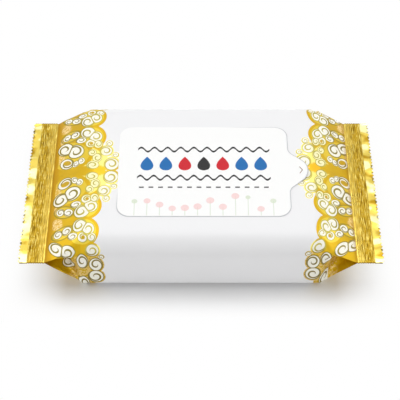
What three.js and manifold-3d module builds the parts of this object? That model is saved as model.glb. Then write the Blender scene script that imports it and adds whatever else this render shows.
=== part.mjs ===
import * as THREE from 'three';
import { mergeVertices } from 'three/addons/utils/BufferGeometryUtils.js';
import Module from 'manifold-3d';

// A travel pack of wet wipes: a folded stack sealed in a flow-wrapped film bag, with a reclosable
// label stuck on its flat top. Millimetres, +Z up, +X along the pack from one end seal to the other.
// The origin is under the middle of the pack, on the surface that it lies on.

// Film bag: a box-shaped middle, a tucked and sloping stretch at each end, then the flat end seals.
const packLength = 150; // between the zigzag cuts of the two end seals
const bodyDepth = 83; // between the long side walls
const bodyHeight = 27.5; // from the underside to the flat top
const topEdgeRadius = 7;
const bottomEdgeRadius = 4;
const tuckLength = 14; // slope between the box-shaped middle and an end seal
const tuckBend = 0.25; // share of the slope that rounds over from the flat panels
const earSharpness = 2.6; // higher makes the folded corners thinner and the tuck squarer
const creaseRate = 1.4; // higher makes the long edges sharpen sooner along the slope

// End seals: film crimped between ribbed jaws, with a flat lip that is cut to a zigzag.
const sealLength = 11; // crimp and lip together
const sealInset = 1.25; // how far each end of a seal stays inside the body's side wall
const sealThickness = 0.5;
const ribPitch = 0.95;
const ribHeight = 0.3;
const ribMargin = 0.6; // flat film between the tuck and the first rib
const lipLength = 2.7; // least flat film beyond the last rib
const toothPitch = 1.9;
const toothDepth = 0.8;

// Back seam: the film's two long edges, sealed face to face and folded flat under the pack.
const finWidth = 12;
const finGroove = 0.35; // depth of the line on either side of the folded fin
const finFoldGap = 0.6; // width of the line at the fold
const finEdgeGap = 2.5; // width of the slope beside the fin's free edge

// Reclosable label, with a lift tab on its +X side, and the bare film that its edges leave free
// on the pack's flat top panel.
const labelThickness = 0.2;
const labelCornerRadius = 5.5;
const bareFilmLeft = 15.2;
const bareFilmPastTab = 4.8;
const bareFilmFront = 7.45;
const bareFilmBack = 10.05;
const tabReach = 8;
const tabNoseRadius = 8;
const tabRootRadius = 4.5;
const tabFlank = THREE.MathUtils.degToRad(42); // angle between a flank and +X

// Sizes that follow from those above.
const sealSpan = bodyDepth - 2 * sealInset;
const tuckEnd = packLength / 2 - sealLength;
const tuckStart = tuckEnd - tuckLength;
const sealHeight = bodyHeight / 2; // the seals lie at half height
const gussetDepth = bodyHeight / 2; // film of each side wall, folded inwards at the seal
const tuckEndThickness = 0.6 * sealThickness; // ends inside the seal, which it joins
const sealLap = 0.5; // how far a seal reaches back into the tuck
const ribCount = Math.floor((sealLength - ribMargin - lipLength) / ribPitch);
const flatHalfDepth = bodyDepth / 2 - topEdgeRadius; // of the top panel, whose ends are the tucks
const labelLeft = -tuckStart + bareFilmLeft;
const labelRight = tuckStart - bareFilmPastTab - tabReach; // without its tab
const labelFront = -flatHalfDepth + bareFilmFront;
const labelBack = flatHalfDepth - bareFilmBack;

const wasm = await Module();
wasm.setup();

function toSolid(geometry) {
  const bare = geometry.clone();
  bare.deleteAttribute('normal');
  bare.deleteAttribute('uv');
  const merged = mergeVertices(bare, 1e-4);
  return new wasm.Manifold(new wasm.Mesh({
    numProp: 3,
    vertProperties: new Float32Array(merged.attributes.position.array),
    triVerts: new Uint32Array(merged.index.array),
  }));
}

function toGeometry(solid) {
  const mesh = solid.getMesh();
  const geometry = new THREE.BufferGeometry();
  geometry.setAttribute('position', new THREE.BufferAttribute(mesh.vertProperties, 3));
  geometry.setIndex(new THREE.BufferAttribute(mesh.triVerts, 1));
  geometry.computeVertexNormals();
  return geometry;
}

// Share of the slope's drop reached at a share of its length: rounded at first, then straight.
function slopeShare(s) {
  const scale = 1 - tuckBend / 2;
  return s < tuckBend ? s * s / (2 * tuckBend * scale) : (s - tuckBend / 2) / scale;
}

// Heights, half depth, corner radii and tuck depth of the bag at a distance x from its middle.
// The rounded long edges sharpen into creases on their way to the seal.
function measuresAt(x) {
  const s = THREE.MathUtils.clamp((Math.abs(x) - tuckStart) / tuckLength, 0, 1);
  const drop = slopeShare(s);
  const top = THREE.MathUtils.lerp(bodyHeight, sealHeight + tuckEndThickness / 2, drop);
  const bottom = THREE.MathUtils.lerp(0, sealHeight - tuckEndThickness / 2, drop);
  const cornerShare = ((top - bottom) / bodyHeight) * (1 - s) ** creaseRate;
  return {
    top,
    bottom,
    halfDepth: THREE.MathUtils.lerp(bodyDepth / 2, sealSpan / 2, s),
    lowRadius: Math.max(bottomEdgeRadius * cornerShare, tuckEndThickness / 4),
    highRadius: Math.max(topEdgeRadius * cornerShare, tuckEndThickness / 4),
    tuck: gussetDepth * s,
  };
}

// Points of one side wall from the bottom edge to the top edge, as half depth and height. Between
// the two rounded edges the film is tucked inwards, deepest at half height.
function sideWall(m) {
  const arcSteps = 5;
  const wallSteps = 8;
  const low = m.lowRadius;
  const high = m.highRadius;
  const points = [];
  for (let i = 0; i <= arcSteps; i++) {
    const a = (i / arcSteps) * Math.PI / 2;
    points.push([m.halfDepth - low + low * Math.sin(a), m.bottom + low - low * Math.cos(a)]);
  }
  for (let i = 1; i < wallSteps; i++) {
    const share = i / wallSteps;
    const tucked = 1 - Math.abs(2 * share - 1) ** earSharpness;
    const z = THREE.MathUtils.lerp(m.bottom + low, m.top - high, share);
    points.push([m.halfDepth - m.tuck * tucked, z]);
  }
  for (let i = 0; i <= arcSteps; i++) {
    const a = (i / arcSteps) * Math.PI / 2;
    points.push([m.halfDepth - high + high * Math.cos(a), m.top - high + high * Math.sin(a)]);
  }
  return points;
}

// The bag's outline at x, counter-clockwise seen from +X, starting beside the fin's free edge.
function sectionAt(x) {
  const m = measuresAt(x);
  const wall = sideWall(m);
  const groove = Math.min(finGroove, (m.top - m.bottom) / 4);
  const fin = [
    [-finFoldGap, m.bottom],
    [0, m.bottom + groove],
    [finFoldGap / 4, m.bottom],
    [finWidth, m.bottom],
    [finWidth + finFoldGap / 4, m.bottom + groove],
    [finWidth + finEdgeGap, m.bottom],
  ];
  const farWall = wall.map(([y, z]) => [-y, z]).reverse();
  return [...fin, ...wall, ...farWall].map(([y, z]) => [x, y, z]);
}

// A closed body through rings of equal length, with a flat face at each end.
function loft(rings) {
  const count = rings[0].length;
  const faces = [];
  for (let i = 0; i + 1 < rings.length; i++) {
    for (let j = 0; j < count; j++) {
      const a = i * count + j;
      const b = i * count + (j + 1) % count;
      faces.push(a, b, b + count, a, b + count, a + count);
    }
  }
  const lastRing = (rings.length - 1) * count;
  const outlineOf = (ring) => ring.map(([, y, z]) => new THREE.Vector2(y, z));
  for (const [a, b, c] of THREE.ShapeUtils.triangulateShape(outlineOf(rings[0]), [])) {
    faces.push(a, c, b);
  }
  for (const [a, b, c] of THREE.ShapeUtils.triangulateShape(outlineOf(rings.at(-1)), [])) {
    faces.push(lastRing + a, lastRing + b, lastRing + c);
  }
  const geometry = new THREE.BufferGeometry();
  geometry.setAttribute('position', new THREE.Float32BufferAttribute(rings.flat(2), 3));
  geometry.setIndex(faces);
  return geometry;
}

// The bag between its end seals.
function bagBody() {
  const shares = [0, 0.06, 0.13, 0.2, 0.28, 0.4, 0.52, 0.64, 0.76, 0.88, 0.95, 1];
  const stations = shares.map((s) => tuckStart + s * tuckLength);
  const mirrored = stations.map((x) => -x).reverse();
  return toSolid(loft([...mirrored, ...stations].map(sectionAt)));
}

// One end seal, on the +X side: a ribbed strip of constant thickness with a zigzag outer edge.
function endSeal() {
  const ridge = [[tuckEnd - sealLap, 0], [tuckEnd + ribMargin, 0]];
  for (let i = 0; i < ribCount; i++) {
    const start = tuckEnd + ribMargin + i * ribPitch;
    ridge.push([start + ribPitch / 2, ribHeight], [start + ribPitch, 0]);
  }
  ridge.push([packLength / 2, 0]);
  const upper = ridge.map(([x, z]) => new THREE.Vector2(x, sealHeight + z + sealThickness / 2));
  const lower = ridge.map(([x, z]) => new THREE.Vector2(x, sealHeight + z - sealThickness / 2));
  const profile = new THREE.Shape([...lower, ...upper.reverse()]);
  const strip = new THREE.ExtrudeGeometry(profile, { depth: sealSpan, bevelEnabled: false });
  strip.rotateX(Math.PI / 2).translate(0, sealSpan / 2, 0);
  return toSolid(strip).subtract(toothCutter());
}

// What the zigzag blade takes off the outer edge of a seal.
function toothCutter() {
  const toothCount = Math.round(sealSpan / toothPitch);
  const clear = 1;
  const outline = [new THREE.Vector2(packLength / 2 + clear, -sealSpan / 2 - clear)];
  outline.push(new THREE.Vector2(packLength / 2 + clear, sealSpan / 2 + clear));
  outline.push(new THREE.Vector2(packLength / 2 - toothDepth, sealSpan / 2 + clear));
  for (let i = 2 * toothCount; i >= 0; i--) {
    const atTip = i % 2 === 1;
    const x = packLength / 2 - (atTip ? 0 : toothDepth);
    outline.push(new THREE.Vector2(x, -sealSpan / 2 + i * sealSpan / (2 * toothCount)));
  }
  outline.push(new THREE.Vector2(packLength / 2 - toothDepth, -sealSpan / 2 - clear));
  const height = 2 * (sealThickness + ribHeight);
  const cutter = new THREE.ExtrudeGeometry(new THREE.Shape(outline), {
    depth: height,
    bevelEnabled: false,
  });
  return toSolid(cutter.translate(0, 0, sealHeight - height / 2));
}

function filmPack(material) {
  const seal = endSeal();
  const bag = bagBody().add(seal).add(seal.rotate([0, 0, 180]));
  const mesh = new THREE.Mesh(toGeometry(bag), material);
  mesh.name = 'film_pack';
  return mesh;
}

// Outline of the label about its own middle: a rounded rectangle whose +X side swells into the tab.
function labelOutline() {
  const right = (labelRight - labelLeft) / 2;
  const top = (labelBack - labelFront) / 2;
  const r = labelCornerRadius;
  const noseHalfTurn = Math.PI / 2 - tabFlank;
  const noseX = right + tabReach - tabNoseRadius;
  const flankX = tabReach - tabNoseRadius + tabNoseRadius * Math.cos(noseHalfTurn);
  const flankY = tabNoseRadius * Math.sin(noseHalfTurn);
  const rootY = flankY
    + (tabRootRadius - Math.sin(tabFlank) * (tabRootRadius - flankX)) / Math.cos(tabFlank);
  const shape = new THREE.Shape();
  shape.moveTo(-right + r, -top);
  shape.absarc(right - r, -top + r, r, -Math.PI / 2, 0, false);
  shape.absarc(right + tabRootRadius, -rootY, tabRootRadius, Math.PI, Math.PI / 2 + tabFlank, true);
  shape.absarc(noseX, 0, tabNoseRadius, -noseHalfTurn, noseHalfTurn, false);
  shape.absarc(right + tabRootRadius, rootY, tabRootRadius, -Math.PI / 2 - tabFlank, -Math.PI, true);
  shape.absarc(right - r, top - r, r, 0, Math.PI / 2, false);
  shape.absarc(-right + r, top - r, r, Math.PI / 2, Math.PI, false);
  shape.absarc(-right + r, -top + r, r, Math.PI, 1.5 * Math.PI, false);
  return shape;
}

function closureLabel(material) {
  const sheet = new THREE.ExtrudeGeometry(labelOutline(), {
    depth: labelThickness,
    bevelEnabled: false,
    curveSegments: 10,
  });
  const mesh = new THREE.Mesh(toGeometry(toSolid(sheet)), material);
  mesh.position.set((labelLeft + labelRight) / 2, (labelFront + labelBack) / 2, bodyHeight);
  mesh.name = 'closure_label';
  return mesh;
}

const film = new THREE.MeshStandardMaterial({ color: 0xf1f1f2, roughness: 0.38, metalness: 0 });
const labelFilm = new THREE.MeshStandardMaterial({ color: 0xfcfcfb, roughness: 0.3, metalness: 0 });

const pack = new THREE.Group();
pack.add(filmPack(film));
pack.add(closureLabel(labelFilm));

export default pack;
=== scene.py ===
import math

import bpy
import numpy as np
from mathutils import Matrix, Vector, noise


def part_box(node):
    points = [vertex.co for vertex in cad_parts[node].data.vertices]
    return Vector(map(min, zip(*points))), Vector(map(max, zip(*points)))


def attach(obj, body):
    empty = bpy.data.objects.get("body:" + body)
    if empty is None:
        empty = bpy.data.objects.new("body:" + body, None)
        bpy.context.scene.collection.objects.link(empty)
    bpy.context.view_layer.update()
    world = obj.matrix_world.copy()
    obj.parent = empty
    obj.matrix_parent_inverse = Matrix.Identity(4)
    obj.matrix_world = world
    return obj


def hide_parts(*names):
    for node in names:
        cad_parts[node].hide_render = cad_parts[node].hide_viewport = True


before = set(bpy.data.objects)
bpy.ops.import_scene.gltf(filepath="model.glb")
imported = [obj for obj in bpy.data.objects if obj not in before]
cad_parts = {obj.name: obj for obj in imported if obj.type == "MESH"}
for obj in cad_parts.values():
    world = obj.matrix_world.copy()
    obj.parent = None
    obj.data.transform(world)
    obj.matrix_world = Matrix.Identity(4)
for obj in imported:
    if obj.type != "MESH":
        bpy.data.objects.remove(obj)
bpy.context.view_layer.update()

# Film bag: one sheet of white laminate with gold print, formed into a tube round the folded wipes.
# Its side walls are tucked in towards the ends, and each end is crimped flat between ribbed jaws
# and cut to a zigzag. Sizes are in millimetres until the mesh is made.
mm = 0.001
bag_low, bag_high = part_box("film_pack")
pack_length = (bag_high.x - bag_low.x) / mm
body_depth = (bag_high.y - bag_low.y) / mm
body_height = (bag_high.z - bag_low.z) / mm

seal_length = 11
seal_inset = 1.25
seal_thickness = 0.5
slope_gap = 0.3 * seal_thickness  # from a seal's middle height to the slope's end above or below it
tuck_length = 14
crease_rate = {-1: 1.4, 1: 3.2}  # higher makes an end's long edges sharpen sooner on its slope
apex_share = 0.7  # share of the slope where the flat facet of the tuck ends
facet_squareness = 5  # higher keeps that facet flatter
top_edge_radius = 7
bottom_edge_radius = 3.4
least_edge_radius = 0.08
edge_sag = 2.6  # how far the top droops from its middle to its long edges
sag_power = 6  # higher keeps the droop nearer to those edges
most_sag = 0.6  # share of the bag's height that the long edges may sink on the slopes
ridge_place = 2.4  # of the small crease that stands out at a tuck, past the end of the flat wall
ridge_height = 0.7
ridge_width = 0.8

# Where the film leaves its flat panels on the way to a seal, as distances before the tuck's end,
# and how steeply it starts: the middle of the top in a full curve, its long edges and the
# underside in slack ones.
middle_run, middle_power = 18, 1.6
edge_run, edge_power = 15, 0.8
underside_run, underside_power = 14.5, 0.75

tuck_end = pack_length / 2 - seal_length
tuck_start = tuck_end - tuck_length
seal_height = body_height / 2
seal_half_span = body_depth / 2 - seal_inset
gusset_depth = body_height / 2

rib_count = 7
rib_pitch = 0.95
rib_height = 0.3
rib_margin = 0.6
tooth_count = 42
tooth_depth = 0.8
valley_share = 0.97  # of that depth, so that the valleys stay clear of the section before them
lip_wave = 0.35  # how far the flat lip beyond the ribs wanders up and down
ribs_start = tuck_end + rib_margin
ribs_end = ribs_start + rib_count * rib_pitch

# The fin seam under the bag is folded flat between two lines pressed into the film.
fin_width = 12
fin_groove = 0.45
fin_groove_width = 0.9

# Across the film, measured from the middle of the top panel: the creases at the top and bottom
# edges of a side wall, and the fin seam in the middle of the underside.
top_crease = 40.0
bottom_crease = 66.0
fin_line = 105.8

panel_steps = tooth_count  # from the middle of a panel to its crease: two for each tooth
wall_steps = 22
half_ring = 2 * panel_steps + wall_steps
top_points, wall_points = 30, 25  # of an outline, before its points are spread evenly
arc_steps = 8
rib_steps = 8
body_stations, slope_stations, lip_stations = 28, 52, 8


def run_share(x, run):
    """How much of a run that ends at the tuck's end has passed at x, from 0 to 1."""
    return min(max((x - tuck_end + run) / run, 0), 1)


def top_height(x):
    """Height of the middle of the top."""
    drop = body_height - seal_height - slope_gap
    return body_height - drop * run_share(x, middle_run) ** middle_power


def edge_height(x):
    """Height at which the top would meet the side walls without its rounded edge."""
    drop = body_height - edge_sag - seal_height - slope_gap
    return body_height - edge_sag - drop * run_share(x, edge_run) ** edge_power


def underside_height(x):
    """Height of the underside."""
    rise = seal_height - slope_gap
    return rise * run_share(x, underside_run) ** underside_power


def spread(points, steps):
    """Points at equal distances along a polyline of y and z."""
    points = np.array(points)
    reach = np.concatenate([[0], np.cumsum(np.hypot(*np.diff(points, axis=0).T))])
    wanted = np.linspace(0, reach[-1], steps + 1)
    return np.column_stack([np.interp(wanted, reach, points[:, k]) for k in (0, 1)])


def corner(centre, radius, start, end):
    """Points on an arc, with its angles in degrees from +y towards +z."""
    angles = np.radians(np.linspace(start, end, arc_steps + 1))
    return [(centre[0] + radius * math.cos(a), centre[1] + radius * math.sin(a)) for a in angles]


def bag_section(x, side):
    """Half of the bag's outline at x before the seals, from the top's middle to the fin line."""
    s = run_share(x, tuck_length)
    top = top_height(x)
    bottom = underside_height(x)
    half = body_depth / 2 + (seal_half_span - body_depth / 2) * s
    share = (top - bottom) / body_height * (1 - s) ** crease_rate[side]
    high = max(top_edge_radius * share, least_edge_radius)
    low = max(bottom_edge_radius * share, least_edge_radius)
    squareness = 1 + facet_squareness * max(1 - s / apex_share, 0)
    sag = min((top - edge_height(x)) / (top - bottom), most_sag)

    def sagged(points, widths):
        """Lowers points by the sag that the top has at the given shares of its half width."""
        return [(y, bottom + (z - bottom) * (1 - sag * w ** sag_power))
                for (y, z), w in zip(points, widths)]

    wall = []
    for t in np.linspace(0, 1, wall_points):
        tucked = 1 - abs(2 * t - 1) ** squareness
        wall.append((half - gusset_depth * s * tucked, top - high + (bottom + low - top + high) * t))
    high_centre = (half - high, top - high)
    low_centre = (half - low, bottom + low)
    over = [(y, top) for y in np.linspace(0, half - high, top_points)[:-1]]
    over += corner(high_centre, high, 90, 45)
    over = sagged(over, [y / half for y, z in over])
    bend = corner(high_centre, high, 45, 0)
    flank = sagged(bend, [y / half for y, z in bend])
    flank += sagged(wall[1:-1], [1] * len(wall)) + corner(low_centre, low, 0, -45)
    under = corner(low_centre, low, -45, -90) + [(0, bottom)]
    return spread(over, panel_steps), spread(flank, wall_steps), spread(under, panel_steps)


def seal_section(x):
    """Half of a seal's outline: two flat faces joined by a thin rounded edge."""
    in_ribs = x - tuck_end - rib_margin
    lift = 0.0
    if 0 < in_ribs < rib_count * rib_pitch:
        lift = rib_height / 2 * (1 - math.cos(2 * math.pi * in_ribs / rib_pitch))
    top = seal_height + seal_thickness / 2 + lift
    bottom = seal_height - seal_thickness / 2 + lift
    over = [(0, top), (seal_half_span, top)]
    flank = corner((seal_half_span, (top + bottom) / 2), seal_thickness / 2, 90, -90)
    under = [(seal_half_span, bottom), (0, bottom)]
    return spread(over, panel_steps), spread(flank, wall_steps), spread(under, panel_steps)


def station_places():
    """Distances from the pack's middle at which its sections stand, from the middle outwards."""
    bend_start = tuck_end - middle_run
    body = np.linspace(0, bend_start, body_stations)
    slope = np.linspace(bend_start, tuck_end, slope_stations)[1:]
    ribs = np.linspace(ribs_start, ribs_end, rib_count * rib_steps + 1)
    lip = np.linspace(ribs_end, pack_length / 2 - tooth_depth, lip_stations)[1:]
    return [*body, *slope, tuck_end + rib_margin / 2, *ribs, *lip, pack_length / 2]


def film_reach(x):
    """Distance along the film from the pack's middle to the section at x."""
    start = tuck_end - middle_run
    if x <= start:
        return x
    measured_points = 60
    places = np.linspace(start, min(x, tuck_end), measured_points)
    heights = [top_height(p) for p in places]
    sloped = float(np.sum(np.hypot(np.diff(places), np.diff(heights))))
    return start + sloped + max(x - tuck_end, 0)


# Where each point of a ring lies across the film, from the top's middle round to it again.
half_across = np.concatenate([
    np.linspace(0, top_crease, panel_steps + 1),
    np.linspace(top_crease, bottom_crease, wall_steps + 1)[1:],
    np.linspace(bottom_crease, fin_line, panel_steps + 1)[1:],
])
ring_across = np.concatenate([half_across, -half_across[-2:0:-1]])
ring_size = len(ring_across)
from_top = np.abs(ring_across)


def ring_at(x, side):
    """A whole ring of the bag at x, on the side of the pack that side names with its sign."""
    over, wall, under = seal_section(x) if x > tuck_end else bag_section(x, side)
    half = np.concatenate([over, wall[1:], under[1:]])
    whole = np.concatenate([half, half[-2:0:-1] * (-1, 1)])
    along = np.full(ring_size, x)
    if x == pack_length / 2:
        along[:] = x - valley_share * tooth_depth
        tips = np.arange(1, panel_steps + 1, 2)
        along[tips] = x
        along[-tips] = x
        along[half_ring - tips] = x
        along[half_ring + tips] = x
    return np.column_stack([side * along, whole])


def ripple(places, size_along, size_across, seed):
    """Smooth noise from about -1 to 1 over places on the film."""
    gain = 1.6
    spots = [Vector((a / size_along, b / size_across, seed)) for a, b in places]
    return np.array([noise.noise(spot) * gain for spot in spots])


def soften(value, start, end):
    """0 before start, 1 after end, and a smooth rise between them."""
    t = np.clip((value - start) / (end - start), 0, 1)
    return t * t * (3 - 2 * t)


outward = station_places()
stations = [(x, -1) for x in outward[:0:-1]] + [(x, 1) for x in outward]
rings = np.array([ring_at(x, side) for x, side in stations])
reaches = np.array([side * film_reach(x) for x, side in stations])
film_half_length = reaches[-1]

# The film is never quite flat: it pleats on the slopes, is slack on the walls, stands out in a
# small crease at each tuck and waves at the lips. depth is how far a point moves into the bag.
pleat_depth = 0.16
tuck_pleat_depth = 0.22
wall_slack = 0.22
wall_swell = 0.6  # share of that slack by which the walls stand out on the whole
tangents = np.gradient(rings, axis=0)
across_ring = np.roll(rings, -1, axis=1) - np.roll(rings, 1, axis=1)
into_bag = np.cross(across_ring, tangents)
into_bag /= np.maximum(np.linalg.norm(into_bag, axis=2, keepdims=True), 1e-9)
film_places = np.array([(a, b) for a in reaches for b in ring_across])
grid = (len(stations), ring_size)
distance = np.abs(rings[:, :, 0])
from_bend = distance - tuck_start
on_slope = soften(from_bend, 0, 3) * (1 - soften(from_bend, tuck_length - 2, tuck_length))
mid_wall = soften(from_top, 44, 50) * (1 - soften(from_top, 60, 66))
on_body = 1 - soften(from_bend, -8, 4)
depth = pleat_depth * on_slope * ripple(film_places, 9, 3.2, 1.7).reshape(grid)
depth += tuck_pleat_depth * on_slope * mid_wall * ripple(film_places, 3.0, 2.4, 5.1).reshape(grid)
slack = ripple(film_places, 17, 9, 8.3).reshape(grid) - wall_swell
depth += wall_slack * mid_wall * on_body * slack
along_ridge = soften(from_top, 39, 42) * (1 - soften(from_top, 50, 58))
depth -= ridge_height * along_ridge * np.exp(-((from_bend - ridge_place) / ridge_width) ** 2)
under_body = on_body * (from_top > bottom_crease)
for line_y in (0, fin_width):
    depth += fin_groove * under_body * np.exp(-((rings[:, :, 1] - line_y) / fin_groove_width) ** 2)
rings += into_bag * depth[:, :, None]
on_lip = soften(distance, ribs_end - 1, pack_length / 2)
rings[:, :, 2] += lip_wave * on_lip * ripple(film_places * (0, 1), 1, 6.5, 3.3).reshape(grid)


# The print runs out over the seal at one end, more so on the top than on the walls, and on the
# slopes it is drawn towards the back.
print_slip_top, print_slip_wall = 5.6, 2.8
print_skew = 0.61
print_middle = {-1: -1.2, 1: 0.6}
print_slips = print_slip_top + (print_slip_wall - print_slip_top) * soften(from_top, 30, 46)


def print_line(x, side):
    """Where the section at x lies on the print: how far in from the crimp, and its middle."""
    middle = print_skew * (body_height - top_height(x)) + print_middle[side]
    return film_reach(tuck_end) - film_reach(x), middle


def film_mesh():
    """The bag as one closed mesh, with two maps: of the flat film, and of the print on it."""
    count = len(stations)
    lap = 2 * fin_line
    rim = 0.6  # room on both maps for the film's cut edges
    crease_angle = math.radians(52)
    faces = []
    flat_spots = []
    print_spots = []
    print_lines = [print_line(x, side) for x, side in stations]

    def add_face(corners, spots, turn):
        """A face from pairs of station and ring numbers, with its places on the flat film.

        turn is -1 where the corners as listed would face into the bag.
        """
        corners = corners[::turn]
        spots = spots[::turn]
        faces.append(tuple(i * ring_size + j for i, j in corners))
        flat_spots.extend(spots)
        for (i, j), (reach, across) in zip(corners, spots):
            inwards, middle = print_lines[i]
            slip = print_slips[j % ring_size] if stations[i][1] > 0 else 0
            print_spots.append((inwards + slip, across - middle))

    for i in range(count - 1):
        for j in range(ring_size):
            k = (j + 1) % ring_size
            start = ring_across[j] - (lap if ring_across[j] == fin_line else 0)
            end = ring_across[k]
            corners = [(i, j), (i, k), (i + 1, k), (i + 1, j)]
            here, there = reaches[i], reaches[i + 1]
            add_face(corners, [(here, start), (here, end), (there, end), (there, start)], -1)
    for end, side in ((0, -1), (count - 1, 1)):
        edge = reaches[end]
        chain = np.arange(-panel_steps, panel_steps + 1)
        for j, k in zip(chain, chain[1:]):
            corners = [(end, q) for q in (j % ring_size, k % ring_size, half_ring - k, half_ring - j)]
            starts = [ring_across[q] for i, q in corners[:2]]
            spots = [(edge, starts[0]), (edge, starts[1]),
                     (edge + side * rim, starts[1]), (edge + side * rim, starts[0])]
            add_face(corners, spots, -side)
        for turn in (1, -1):
            fan = [turn * j % ring_size for j in range(panel_steps, panel_steps + wall_steps + 1)]
            bulge = np.sin(np.linspace(0, math.pi, len(fan)))
            spots = [(edge + side * rim * b, ring_across[q]) for q, b in zip(fan, bulge)]
            add_face([(end, q) for q in fan], spots, -side * turn)
    mesh = bpy.data.meshes.new("film_bag")
    mesh.from_pydata((rings.reshape(-1, 3) * mm).tolist(), [], faces)
    length = 2 * (film_half_length + 2 * rim)
    baked = [(0.5 + a / length, 0.5 + b / lap) for a, b in flat_spots]
    for name, spots in (("print", print_spots), ("OFBake", baked)):
        layer = mesh.uv_layers.new(name=name)
        layer.uv.foreach_set("vector", np.array(spots, dtype=np.float32).ravel())
    mesh.polygons.foreach_set("use_smooth", [True] * len(mesh.polygons))
    mesh.set_sharp_from_angle(angle=crease_angle)
    mesh.validate()
    return mesh


def place(name, mesh, node):
    """An object for a mesh, standing for a node of the frame."""
    piece = bpy.data.objects.new(name, mesh)
    bpy.context.scene.collection.objects.link(piece)
    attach(piece, "root")
    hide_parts(node)


bag_mesh = film_mesh()
place("film_bag", bag_mesh, "film_pack")


def paint(red, green, blue):
    """A colour as a shader takes it, from its values on screen out of 255."""
    def level(value):
        part = value / 255
        return part / 12.92 if part <= 0.04045 else ((part + 0.055) / 1.055) ** 2.4
    return (level(red), level(green), level(blue), 1)


class Ink:
    """A socket in a material. Sums with it add Math nodes, and add makes every node."""

    def __init__(self, tree, socket=None):
        self.tree = tree
        self.socket = socket

    def add(self, kind, settings=None, values=None, output=0):
        """One output of a new node with these settings, and values or links for its sockets."""
        node = self.tree.nodes.new(kind)
        for name, value in (settings or {}).items():
            setattr(node, name, value)
        for name, value in (values or {}).items():
            if isinstance(value, Ink):
                self.tree.links.new(value.socket, node.inputs[name])
            else:
                node.inputs[name].default_value = value
        return Ink(self.tree, node.outputs[output])

    def sum(self, operation, *values):
        return self.add("ShaderNodeMath", {"operation": operation}, dict(enumerate(values)))

    def __add__(self, other):
        return self.sum("ADD", self, other)

    def __radd__(self, other):
        return self.sum("ADD", other, self)

    def __sub__(self, other):
        return self.sum("SUBTRACT", self, other)

    def __rsub__(self, other):
        return self.sum("SUBTRACT", other, self)

    def __mul__(self, other):
        return self.sum("MULTIPLY", self, other)

    def __rmul__(self, other):
        return self.sum("MULTIPLY", other, self)

    def __truediv__(self, other):
        return self.sum("DIVIDE", self, other)

    def __rtruediv__(self, other):
        return self.sum("DIVIDE", other, self)

    def __pow__(self, other):
        return self.sum("POWER", self, other)

    def __abs__(self):
        return self.sum("ABSOLUTE", self)

    def __lt__(self, other):
        return self.sum("LESS_THAN", self, other)

    def __gt__(self, other):
        return self.sum("GREATER_THAN", self, other)

    def least(self, other):
        return self.sum("MINIMUM", self, other)

    def most(self, other):
        return self.sum("MAXIMUM", self, other)

    def rest(self):
        return self.sum("FRACT", self)

    def rise(self, start, end):
        """0 at start, 1 at end, and a smooth step between them."""
        return self.add("ShaderNodeMapRange", {"interpolation_type": "SMOOTHSTEP"},
                        {"Value": self, "From Min": start, "From Max": end})

    def parts(self, count):
        """The first one, two or three numbers of a vector."""
        return [self.add("ShaderNodeSeparateXYZ", None, {0: self}, k) for k in range(count)]

    def joined(self, x, y, z=0.0):
        return self.add("ShaderNodeCombineXYZ", None, {0: x, 1: y, 2: z})

    def far(self, point):
        """Distance from a point."""
        return self.add("ShaderNodeVectorMath", {"operation": "DISTANCE"}, {0: self, 1: point}, 1)

    def over(self, under, colour):
        """colour where this mask is 1, under where it is 0."""
        return self.add("ShaderNodeMix", {"data_type": "RGBA"}, {0: self, 6: under, 7: colour}, 2)

    def grain(self, scale, detail=2.0, stretch=(1, 1, 1)):
        """Noise from 0 to 1 over this place, stretched along its axes."""
        spot = self.add("ShaderNodeVectorMath", {"operation": "MULTIPLY"}, {0: self, 1: stretch})
        return spot.add("ShaderNodeTexNoise", None, {"Vector": spot, "Scale": scale, "Detail": detail})


def new_finish(name):
    """An empty material, its nodes as an Ink, and its Principled shader."""
    finish = bpy.data.materials.new(name)
    finish.use_nodes = True
    return finish, Ink(finish.node_tree), finish.node_tree.nodes["Principled BSDF"]


def feed(shader, name, value):
    """Links a value that changes over the surface to one of the shader's sockets."""
    value.tree.links.new(value.socket, shader.inputs[name])


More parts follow.
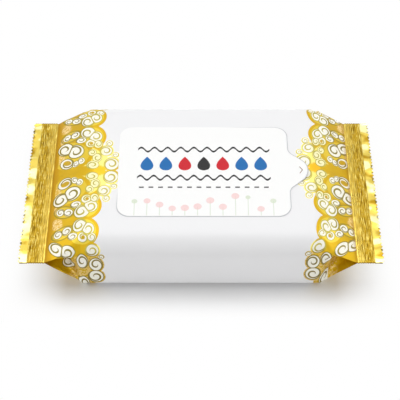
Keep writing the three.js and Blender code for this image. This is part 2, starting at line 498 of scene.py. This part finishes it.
# Curls of the gold scroll print on a quarter of the film: how far in from the crimp, how far from
# the middle, half sizes along and across, the tilt, and where the winding line starts, in degrees.
# The print is mirrored about the middle, and again at the creases under the side walls.
curls = [
    (7.4, 14.5, 5.0, 3.3, -10, 320), (14.2, 11.9, 4.3, 3.6, -10, 180), (9.3, 5.6, 4.3, 2.8, -14, 60),
    (15.0, 4.6, 2.0, 1.5, 30, 20), (17.7, 6.0, 1.8, 1.7, 30, 200),
    (8.0, 21.4, 2.6, 1.8, 10, 20), (13.0, 22.0, 2.6, 1.8, 10, 200), (16.7, 18.2, 2.6, 1.6, 0, 200),
    (19.8, 22.5, 3.3, 3.1, 0, 330), (23.7, 19.8, 2.7, 3.0, 0, 180),
    (21.7, 15.9, 2.2, 2.2, 0, 60), (25.0, 15.4, 1.7, 2.2, 0, 120),
    (7.8, 33.0, 2.6, 1.8, -18, 20), (12.8, 31.4, 2.6, 1.8, -18, 200), (16.2, 34.2, 2.4, 1.5, 0, 200),
    (19.4, 29.6, 3.1, 3.0, 0, 330), (23.2, 31.5, 2.5, 2.9, 0, 180),
    (21.2, 35.4, 2.1, 2.0, 0, 60), (24.9, 35.2, 1.6, 1.7, 0, 120),
    (7.0, 39.8, 4.8, 2.8, 12, 330), (13.8, 41.0, 3.8, 2.9, 12, 180),
    (23.3, 3.2, 2.5, 2.2, 0, 270), (25.0, 7.4, 1.9, 2.4, 0, 90), (22.7, 10.4, 1.7, 1.8, 0, 200),
    (31.2, 3.7, 2.9, 3.2, 0, 200), (28.6, 11.3, 2.5, 2.6, 0, 200),
    (32.6, 8.9, 1.3, 1.3, 0, 0), (29.8, 15.6, 1.3, 1.5, 0, 0),
    (25.0, 41.0, 2.6, 2.7, 0, 200), (28.5, 44.4, 1.1, 1.1, 0, 0), (26.2, 49.6, 2.6, 4.2, 0, 30),
    (25.8, 58.0, 3.0, 3.8, 0, 200), (20.6, 47.6, 2.4, 4.4, 0, 60), (20.6, 63.0, 2.2, 4.4, 0, 120),
    (13.6, 57.8, 5.6, 1.8, -60, 330),
]
curl_turns = 1.35
curl_line = 0.22  # half the width of the line between a curl's turns, as a share of a turn
curl_taper = 0.09  # how much of that it loses towards the rim
curl_core = 0.3  # share of a curl's half size where the line ends
curl_edge = 0.13  # width of the outline, as a share of the curl's half size
no_curl = 9.0  # a reach well outside every curl
plain_from, plain_reach = 52.0, 19.0  # the low part of the right end's tucks, which has no curls

film_white = paint(244, 244, 245)
# Painted shade: the next two golds are darker by the crimp's crease and on the slopes than on the flat
# top.
crease_shade_gold = paint(192, 148, 0)
shaded_slope_gold = paint(200, 162, 0)
flat_gold = paint(206, 168, 20)
bright_gold = paint(244, 190, 40)
# The pale ground is painted highlight on the bend, and the pale print of the fringe past the fans.
pale_ground_and_highlight = paint(244, 230, 130)
fan_ground = paint(222, 196, 64)
corner_ground = paint(214, 172, 84)
cream = paint(255, 253, 240)
highlight_cream = paint(255, 250, 200)
olive = paint(132, 118, 30)
faint_olive = paint(180, 168, 66)
wall_olive = paint(128, 110, 18)
peach = paint(238, 212, 150)

film_finish, ink, shader = new_finish("printed film")
body_place = ink.add("ShaderNodeTexCoord", None, None, 3)
body_x, body_y, body_z = [part / mm for part in body_place.parts(3)]
film_place = ink.joined(body_x, body_y, body_z)
drawn_place = ink.add("ShaderNodeUVMap", {"uv_map": "print"})
inwards, sideways = drawn_place.parts(2)
sideways = abs(sideways)
folded = sideways.least(2 * bottom_crease - sideways)
print_place = ink.joined(inwards, folded)


def local_place(along, across, half_along, half_across, tilt, mark=0.0):
    """The print's place as an oval sees it, which reaches 1 from its centre, and that reach."""
    local = print_place.add("ShaderNodeMapping", {"vector_type": "TEXTURE"}, {
        "Vector": print_place,
        "Location": (along, across, -mark),
        "Rotation": (0, 0, math.radians(tilt)),
        "Scale": (half_along, half_across, 1),
    })
    return local, local.far((0, 0, mark))


def oval(along, across, half_along, half_across, tilt=0):
    """How deep the print's place lies inside an oval."""
    local, reach = local_place(along, across, half_along, half_across, tilt)
    return (1 - reach) * min(half_along, half_across)


# The ground is gold, with paler fans and leaves on it that broad gold lines frame. Where the curls
# lie, the nearest one gives the place within its oval that the winding line is drawn from.
wing = oval(10.5, 9.9, 11.0, 7.6, -4)
first_fan = oval(20.9, 19.6, 6.1, 6.3)
second_fan = oval(20.7, 32.4, 5.8, 6.0)
first_leaf = oval(10.3, 21.6, 6.4, 3.1, 6)
second_leaf = oval(10.2, 32.4, 6.6, 2.9, -18)
pale_highlight_patch = oval(18.5, 4.5, 10.0, 9.6)
frame_width = 1.3
fans = first_fan.most(second_fan)
leaves = first_leaf.most(second_leaf)
covered = wing.most(fans).most(pale_highlight_patch)
outside_wing = wing.rise(-frame_width, -frame_width - 0.2)
outside_fans = fans.rise(-frame_width, -frame_width - 0.2)
curl_places = [local_place(*shape, start / 360) for *shape, start in curls]
curls_part, curls_reach = curl_places[0]
next_reach = no_curl
for part, reach in curl_places[1:]:
    mixed_parts = {0: reach < curls_reach, 4: curls_part, 5: part}
    curls_part = ink.add("ShaderNodeMix", {"data_type": "VECTOR"}, mixed_parts, 1)
    next_reach = curls_reach.most(reach).least(next_reach)
    curls_reach = curls_reach.least(reach)
plain_fold = (body_x > 0.0) * (folded > plain_from) * (inwards < plain_reach)
curls_reach = curls_reach + no_curl * plain_fold
curl_x, curl_y, curl_start = curls_part.parts(3)
curl_angle = ink.sum("ARCTAN2", curl_y, curl_x) / (2 * math.pi)
winding = (curl_start - curl_angle + (curls_reach - 1) * curl_turns + 4).rest()
curl_body = curls_reach.rise(1.02, 0.98)
spiral = (curl_line - curl_taper * curls_reach - winding.least(1 - winding)).rise(-0.03, 0.03)
spiral = spiral * curls_reach.rise(curl_core - 0.06, curl_core + 0.04)
spiral = spiral.most((next_reach - curls_reach).rise(0.20, 0.12))
outline = curls_reach.rise(1 + curl_edge + 0.06, 1 + curl_edge - 0.04)

on_wall = folded.rise(41, 44)
near_crimp = inwards.rise(19.7, 19.3).most(folded.rise(38.0, 38.6) * inwards.rise(25.6, 25.0))
on_fans = covered.rise(-frame_width - 0.05, 0.05 - frame_width)
printed = near_crimp.most(on_fans).most(curls_reach.rise(1.34, 1.28))
# Painted shade: the gold darkens on the slopes, and most of all by the crimp's crease, where less
# light falls.
gold = inwards.rise(3.0, 5.0).over(crease_shade_gold, shaded_slope_gold)
gold = inwards.rise(16.0, 21.0).over(gold, flat_gold)
gold = (oval(27.0, 0.0, 4.0, 3.4).rise(0.0, 1.2) * 0.9).over(gold, bright_gold)
# Painted highlight: the ground is pale yellow on the bend near the middle, where light catches the
# film. Past the fans the same pale ground is the fringe of the print.
in_painted_highlight = pale_highlight_patch.rise(-0.3, 0.5) * outside_wing * folded.rise(2.4, 3.2) * inwards.rise(17.0, 18.6)
in_fringe = inwards.rise(26.6, 27.4) * outside_fans * folded.rise(1.6, 3.0) * (1 - on_wall)
ground = in_painted_highlight.most(in_fringe).over(gold, pale_ground_and_highlight)
in_wing = wing.rise(-0.1, 0.1) * inwards.rise(2.6, 3.4)
in_fans = fans.rise(-0.1, 0.1) * outside_wing
in_leaves = leaves.rise(-0.1, 0.1)
ground = (in_wing.most(in_leaves) * 0.75).over(ground, fan_ground)
ground = in_fans.over(ground, fan_ground)
first_line = frame_width / 2 - abs(folded - 26.0)
second_line = frame_width / 2 - abs(folded - 36.7 - (inwards - 14.0).most(0.0) * 0.4)
framed = first_line.rise(-0.1, 0.1) * inwards.rise(25.0, 24.0)
framed = framed.most(second_line.rise(-0.1, 0.1) * inwards.rise(20.5, 19.5))
ground = framed.over(ground, gold)

# Peach speckle fills the corners beside the crimp and the gaps between the curls on the walls.
speckle = film_place.add("ShaderNodeTexVoronoi", None, {"Vector": film_place, "Scale": 1.0})
lace = speckle.rise(0.20, 0.30) * speckle.rise(0.62, 0.50)
corners = oval(6.4, 27.6, 3.8, 3.0).most(oval(5.0, 9.4, 2.6, 3.2)).most(oval(4.4, 20.0, 1.6, 2.0))
on_corners = corners.rise(-0.6, 0.8) * inwards.rise(3.0, 3.8)
ground = (on_corners * 0.6).over(ground, corner_ground)
ground = (on_corners * lace).over(ground, peach)
ground = (folded.rise(43, 46) * inwards.rise(13, 16) * lace * 0.7).over(ground, peach)

# Painted highlight: from the bend inwards the lines are a fainter olive, and on the bend near the
# middle the curls are filled a paler yellow, as if washed out by light. The fainter lines also stand
# for the paler print of the fringe. On the walls the lines stay dark olive.
line_tone = inwards.rise(15.5, 20.5).over(olive, faint_olive)
line_tone = on_wall.over(line_tone, wall_olive)
curls_in_painted_highlight = inwards.rise(18.5, 20.5) * inwards.rise(28.5, 26.5) * folded.rise(20, 12)
fill_tone = curls_in_painted_highlight.over(cream, highlight_cream)
colour = printed.over(film_white, ground)
colour = (outline * (1 - curl_body)).over(colour, line_tone)
colour = curl_body.over(colour, fill_tone)
colour = (curl_body * spiral).over(colour, line_tone)
cores = oval(9.6, 6.0, 2.9, 1.5, -14).most(oval(22.0, 15.8, 0.9, 1.0)).most(oval(21.4, 35.4, 0.9, 1.0))
colour = cores.rise(-0.1, 0.3).over(colour, gold)
leaf_rim = abs(leaves).rise(0.4, 0.2) * printed * (1 - curl_body)
colour = (leaf_rim * 0.7).over(colour, line_tone)
inked = printed * (1 - curl_body * (1 - spiral))

# The foil of the crimped seals carries painted reflections: dark and bright streaking along the ribs,
# a painted highlight on the first ribs, and dark and bright blotches along the flat lip. It shows its
# darker cut edge at the sides and in places along the zigzag.
foil_shade = paint(128, 99, 8)
foil_gold = paint(198, 163, 36)
foil_shine = paint(240, 222, 126)
first_rib_shine = paint(234, 212, 108)
lip_shade = paint(170, 132, 16)
lip_gold = paint(214, 190, 84)
lip_shine = paint(240, 232, 168)
nick_brown = paint(120, 100, 16)
edge_brown = paint(112, 84, 12)
crease_shade_brown = paint(150, 106, 0)

past_crimp = abs(body_x) - tuck_end
on_seal = past_crimp.rise(-0.25, 0.15)
on_flat_lip = past_crimp.rise(7.1, 7.5)
sheen_and_bump_streaks = film_place.grain(1.0, 4.0, (3.0, 0.20, 0))
breaks = film_place.grain(1.0, 2.0, (0.4, 0.5, 0))
reflection_blotches = film_place.grain(1.0, 1.0, (0.10, 0.17, 0))
foil = sheen_and_bump_streaks.rise(0.36, 0.52).over(foil_shade, foil_gold)
foil = (sheen_and_bump_streaks.rise(0.50, 0.62) * breaks.rise(0.36, 0.52)).over(foil, foil_shine)
foil = (past_crimp.rise(3.8, 1.6) * 0.4).over(foil, first_rib_shine)
lip = reflection_blotches.rise(0.30, 0.42).over(lip_shade, lip_gold)
lip = reflection_blotches.rise(0.48, 0.58).over(lip, lip_shine)
foil = on_flat_lip.over(foil, lip)
nicks = past_crimp.rise(9.9, 10.3) * film_place.grain(1.0, 1.0, (0.05, 0.55, 0)).rise(0.52, 0.60)
foil = nicks.over(foil, nick_brown)
seal_rim = abs(body_y).rise(seal_half_span - 0.25, seal_half_span + 0.05)
foil = (seal_rim * 0.8).over(foil, edge_brown)
# Painted shade: a brown line darkens the crease where the slope meets the crimp.
crease = past_crimp.rise(-1.6, -0.4) * past_crimp.rise(0.6, -0.1)
colour = on_seal.over(colour, foil)
colour = (crease * 0.4).over(colour, crease_shade_brown)
feed(shader, "Base Color", colour)
feed(shader, "Metallic", (inked * 0.5).most(on_seal * 0.75))
feed(shader, "Roughness", 0.40 + inked * 0.12 - on_seal * 0.22)
shader.inputs["Specular IOR Level"].default_value = 0.25
wrinkles = film_place.grain(0.5, 3.0) * 0.5 + sheen_and_bump_streaks * on_seal
bumps = ink.add("ShaderNodeBump", None, {"Strength": 0.25, "Distance": 0.2 * mm, "Height": wrinkles})
feed(shader, "Normal", bumps)
bag_mesh.materials.append(film_finish)

# Reclosable label: a die-cut piece of white adhesive film stuck over the opening in the bag's top,
# with a lift tab that is left without glue.
label_low, label_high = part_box("closure_label")
tab_reach = 8
tab_nose_radius = 8
tab_root_radius = 4.5
tab_flank = math.radians(42)
label_corner_radius = 5.5
tab_lift = 0.35
lift_power = 1.5  # higher keeps the lift nearer to the tab's tip
label_edge_round = 0.06
corner_steps, root_steps, nose_steps = 12, 8, 24
longest_step = 2.0  # between points on the label's straight sides

label_left = label_low.x / mm
label_right = label_high.x / mm - tab_reach
label_half_depth = (label_high.y - label_low.y) / mm / 2
label_middle = ((label_left + label_right) / 2, (label_low.y + label_high.y) / mm / 2)
label_base = label_low.z / mm
label_thickness = (label_high.z - label_low.z) / mm


def label_outline():
    """Points round the label about its own middle, from the front of the tab's root."""
    right = (label_right - label_left) / 2
    top = label_half_depth
    r = label_corner_radius
    nose_turn = math.pi / 2 - tab_flank
    nose_x = right + tab_reach - tab_nose_radius
    flank_x = tab_reach - tab_nose_radius + tab_nose_radius * math.cos(nose_turn)
    flank_y = tab_nose_radius * math.sin(nose_turn)
    past_flank = tab_root_radius - math.sin(tab_flank) * (tab_root_radius - flank_x)
    root_y = flank_y + past_flank / math.cos(tab_flank)
    root_x = right + tab_root_radius
    quarter = math.pi / 2
    arcs = [
        (root_x, -root_y, tab_root_radius, math.pi, quarter + tab_flank, root_steps),
        (nose_x, 0, tab_nose_radius, -nose_turn, nose_turn, nose_steps),
        (root_x, root_y, tab_root_radius, -quarter - tab_flank, -math.pi, root_steps),
        (right - r, top - r, r, 0, quarter, corner_steps),
        (r - right, top - r, r, quarter, math.pi, corner_steps),
        (r - right, r - top, r, math.pi, 3 * quarter, corner_steps),
        (right - r, r - top, r, -quarter, 0, corner_steps),
    ]
    corners = []
    for x, y, radius, start, end, steps in arcs:
        for angle in np.linspace(start, end, steps + 1):
            corners.append((x + radius * math.cos(angle), y + radius * math.sin(angle)))
    points = []
    for (x0, y0), (x1, y1) in zip(corners, corners[1:] + corners[:1]):
        steps = max(1, round(math.hypot(x1 - x0, y1 - y0) / longest_step))
        for k in range(steps):
            points.append((x0 + (x1 - x0) * k / steps, y0 + (y1 - y0) * k / steps))
    return np.array(points)


def label_mesh():
    """The label as a thin closed sheet whose tab lifts a little off the film."""
    outline = label_outline()
    count = len(outline)
    right = (label_right - label_left) / 2
    half_width = np.abs(outline).max(axis=0)
    insets = [0, label_edge_round, 0.3, 1, 2.5, 5, 9, 14, 20]
    map_margin = 1
    edge_angle = math.radians(40)
    shrink = [1 - inset / half_width[1] for inset in insets]
    layers = []
    for under in (False, True):
        for k, share in enumerate(shrink):
            ring = outline * share
            lift = tab_lift * soften(ring[:, 0], right - 1, right + tab_reach) ** lift_power
            height = 0 if under else label_thickness - (label_edge_round if k == 0 else 0)
            spots = ring + label_middle
            droop = edge_sag * np.abs(spots[:, 1] / (body_depth / 2)) ** sag_power
            layers.append(np.column_stack([spots, label_base + height + lift - droop]))
    top_count = len(shrink)
    order = list(range(top_count - 1, -1, -1)) + list(range(top_count, 2 * top_count))
    vertices = [point for k in order for point in layers[k]]
    centres = [(*label_middle, label_base + label_thickness), (*label_middle, label_base)]
    faces = []
    for row in range(len(order) - 1):
        for j in range(count):
            k = (j + 1) % count
            here = row * count
            faces.append((here + j, here + count + j, here + count + k, here + k))
    last = (len(order) - 1) * count
    top_centre = len(vertices)
    for j in range(count):
        k = (j + 1) % count
        faces.append((top_centre, j, k))
        faces.append((top_centre + 1, last + k, last + j))
    mesh = bpy.data.meshes.new("closure_label")
    places = np.array(vertices + centres)
    mesh.from_pydata((places * mm).tolist(), [], faces)
    span = 2 * half_width.max() + 2 * map_margin
    used = np.concatenate(faces)
    flat = 0.5 + (places[used, :2] - label_middle) / span
    from_edge = np.repeat([insets[k % top_count] for k in order] + [insets[-1]], count)
    edge = np.column_stack([from_edge[np.minimum(used, top_centre)], 0 * used])
    for name, spots in (("OFBake", flat), ("edge", edge)):
        layer = mesh.uv_layers.new(name=name)
        layer.uv.foreach_set("vector", spots.astype(np.float32).ravel())
    mesh.polygons.foreach_set("use_smooth", [True] * len(mesh.polygons))
    mesh.set_sharp_from_angle(angle=edge_angle)
    mesh.validate()
    return mesh


label_sheet = label_mesh()
place("label", label_sheet, "closure_label")

label_white = paint(253, 253, 252)
print_red = paint(208, 24, 40)
print_black = paint(30, 28, 30)
print_blue = paint(20, 108, 178)
stem_green = paint(196, 212, 180)
berry_green = paint(214, 226, 200)
berry_pink = paint(246, 206, 204)
arrow_brown = paint(150, 116, 96)
edge_shadow_grey = paint(178, 178, 184)
drop_count = 7
drop_pitch = 8.0
drop_width = 5.4
drop_height = 8.0
drop_foot = -1.4
drop_swell = 1.3  # makes the drop's outline half of drop_width from its middle at its widest
wave_gap = 4.2  # between the row of drops and the ripple on either side of it
wave_pitch = 5.6
wave_height = 1.2
waves_each_side = 5
dash_pitch = 4.0
dash_share = 0.5
dashes_each_side = 7
rule_y = -11.0
rule_half_width = 0.35
stem_pitch = 5.2
stems_each_side = 6
stem_foot = -26.5
lowest_tip = -23
tip_spread = 8
arrow_x = 41.5
arrow_y = label_middle[1]
arrow_slope = 0.62
arrow_half_height = 1.9

label_finish, ink, shader = new_finish("printed label")
label_place = ink.add("ShaderNodeTexCoord", None, None, 3)
x, y = label_place.parts(2)
x = x / mm - label_middle[0]
y = y / mm

# A row of plain water drops, the same from the middle to either end.
cell = x / drop_pitch + drop_count / 2
in_row = (cell > 0) * (cell < drop_count)
offset = abs(cell.rest() - 0.5) * drop_pitch
up = (y - drop_foot) / drop_height
t = up.most(0.0).least(1.0)
drop_reach = (t ** 0.5) * (1 - t) * (drop_swell * drop_width)
on_drop = in_row * (up > 0) * (up < 1) * (drop_reach - offset).rise(-0.06, 0.06)
from_middle = abs(ink.sum("FLOOR", cell) - (drop_count - 1) / 2)
drop_tone = (from_middle > 0.5).over(print_black, print_red)
drop_tone = (from_middle > 1.5).over(drop_tone, print_blue)
colour = on_drop.over(label_white, drop_tone)

# The drops stand between two plain ripples of water, over one thin dashed rule.
for wave_y in (drop_foot - wave_gap, drop_foot + drop_height + wave_gap):
    wave = wave_y + wave_height * ink.sum("SINE", x * (2 * math.pi / wave_pitch))
    on_wave = abs(y - wave).rise(0.65, 0.45) * (abs(x) < waves_each_side * wave_pitch)
    colour = on_wave.over(colour, print_black)
on_dashes = abs((x / dash_pitch).rest() - 0.5) < dash_share / 2
in_rule = (abs(y - rule_y) < rule_half_width) * (abs(x) < dashes_each_side * dash_pitch)
colour = (in_rule * on_dashes).over(colour, print_black)

# A faint row of berries on stems along the front edge.
column = x / stem_pitch
cell = ink.sum("FLOOR", column)
chance = ink.add("ShaderNodeTexWhiteNoise", {"noise_dimensions": "1D"}, {"W": cell})
tint = ink.add("ShaderNodeTexWhiteNoise", {"noise_dimensions": "1D"}, {"W": cell + 0.37})
stem_x = (column.rest() - 0.5) * stem_pitch
tip = chance * tip_spread + lowest_tip
stem = abs(stem_x).rise(0.22, 0.12) * (y < tip) * (y > stem_foot)
berry_size = 1.0 + 0.7 * tint
berry = (berry_size - ink.joined(stem_x, y - tip).far((0, 0, 0))).rise(-0.1, 0.1)
in_band = abs(x) < stems_each_side * stem_pitch
colour = (stem * in_band * 0.5).over(colour, stem_green)
berry_tone = (tint > 0.55).over(berry_green, berry_pink)
colour = (berry * in_band * 0.75).over(colour, berry_tone)

# The pull mark on the tab: a plain arrowhead.
from_arrow = abs(y - arrow_y)
arrow = abs(arrow_x - arrow_slope * from_arrow - x).rise(0.26, 0.16) * (from_arrow < arrow_half_height)
colour = arrow.over(colour, arrow_brown)

# A thin grey line along the front, at the right end and round the tab is painted shadow of the raised
# edge with its cut side; the back and left edges have none.
edge_inset = ink.add("ShaderNodeUVMap", {"uv_map": "edge"}).parts(1)[0]
edge_shadow = edge_inset.rise(0.30, 0.22) * x.rise(4.0, 29.0).most(y.rise(-8.0, -24.0))
colour = (edge_shadow * 0.75).over(colour, edge_shadow_grey)
feed(shader, "Base Color", colour)
shader.inputs["Roughness"].default_value = 0.3
shader.inputs["Specular IOR Level"].default_value = 0.25
label_sheet.materials.append(label_finish)

# The pack lies on a plain pale floor, which shows its soft shadow and is pure white away from it,
# in a white studio with square lights above it, in front of it and at both sides.
floor_size = 6.0
shadow_half_length = 56.0  # from the pack's middle to where the shadow starts to fade at each side
side_fade = 30.0
front_fade_start, front_fade_end = 3.0, 18.0  # past the pack's front and back
floor_mesh = bpy.data.meshes.new("floor")
half = floor_size / 2
floor_mesh.from_pydata([(-half, -half, 0), (half, -half, 0), (half, half, 0), (-half, half, 0)],
                       [], [(0, 1, 2, 3)])
floor = bpy.data.objects.new("floor", floor_mesh)
bpy.context.scene.collection.objects.link(floor)


def seen_rays(ink):
    """1 for the rays that show a surface: from the camera, off a mirror or through something clear."""
    kinds = ("Is Camera Ray", "Is Glossy Ray", "Is Transmission Ray")
    seen, mirrored, through = [ink.add("ShaderNodeLightPath", None, None, kind) for kind in kinds]
    return seen.most(mirrored).most(through)


floor_finish, ink, shader = new_finish("pale floor")
shader.inputs["Base Color"].default_value = (0.90, 0.90, 0.90, 1)
shader.inputs["Roughness"].default_value = 0.9
shader.inputs["Specular IOR Level"].default_value = 0.1
glow = ink.add("ShaderNodeEmission", None, {"Color": (1, 1, 1, 1), "Strength": 1.0})
lit = Ink(floor_finish.node_tree, shader.outputs[0])
floor_x, floor_y = ink.add("ShaderNodeTexCoord", None, None, 3).parts(2)
near_side = (1 - (abs(floor_x) / mm - shadow_half_length) / side_fade).most(0.0).least(1.0) ** 2
near_front = (abs(floor_y) / mm - body_depth / 2).rise(front_fade_end, front_fade_start)
glow_share = seen_rays(ink) * (1 - near_side * near_front)
mixed = ink.add("ShaderNodeMixShader", None, {0: glow_share, 1: lit, 2: glow})
output = floor_finish.node_tree.nodes["Material Output"]
floor_finish.node_tree.links.new(mixed.socket, output.inputs["Surface"])
floor_mesh.materials.append(floor_finish)

world_level = 0.28
world = bpy.data.worlds.new("studio")
world.use_nodes = True
bpy.context.scene.world = world
backdrop = world.node_tree.nodes["Background"]
strength = world_level + (1 - world_level) * seen_rays(Ink(world.node_tree))
world.node_tree.links.new(strength.socket, backdrop.inputs["Strength"])
backdrop.inputs["Color"].default_value = (1, 1, 1, 1)


def soft_light(name, spot, size, power):
    """A square area light that looks at the middle of the pack."""
    lamp = bpy.data.lights.new(name, "AREA")
    lamp.size = size
    lamp.energy = power
    stand = bpy.data.objects.new(name, lamp)
    bpy.context.scene.collection.objects.link(stand)
    pack_middle = Vector((0, 0, 0.014))
    stand.location = spot
    stand.rotation_euler = (pack_middle - Vector(spot)).to_track_quat("-Z", "Y").to_euler()


soft_light("overhead", (0.0, 0.25, 0.85), 0.7, 4.3)
soft_light("left", (-0.75, 0.15, 0.30), 0.4, 2.0)
soft_light("right", (0.75, 0.15, 0.30), 0.4, 1.8)
soft_light("front", (0.0, -0.78, 0.30), 0.5, 1.45)

# Camera: above the front of the pack, looking down at it.
view_drop = math.radians(48)
camera_lens = bpy.data.cameras.new("camera")
camera_lens.sensor_width = 36
camera_lens.lens = 116.5
camera = bpy.data.objects.new("camera", camera_lens)
bpy.context.scene.collection.objects.link(camera)
camera.location = (-0.0004, -0.375, 0.424)
camera.rotation_euler = (math.pi / 2 - view_drop, 0, 0)
bpy.context.scene.camera = camera
bpy.context.scene.view_settings.view_transform = "Standard"
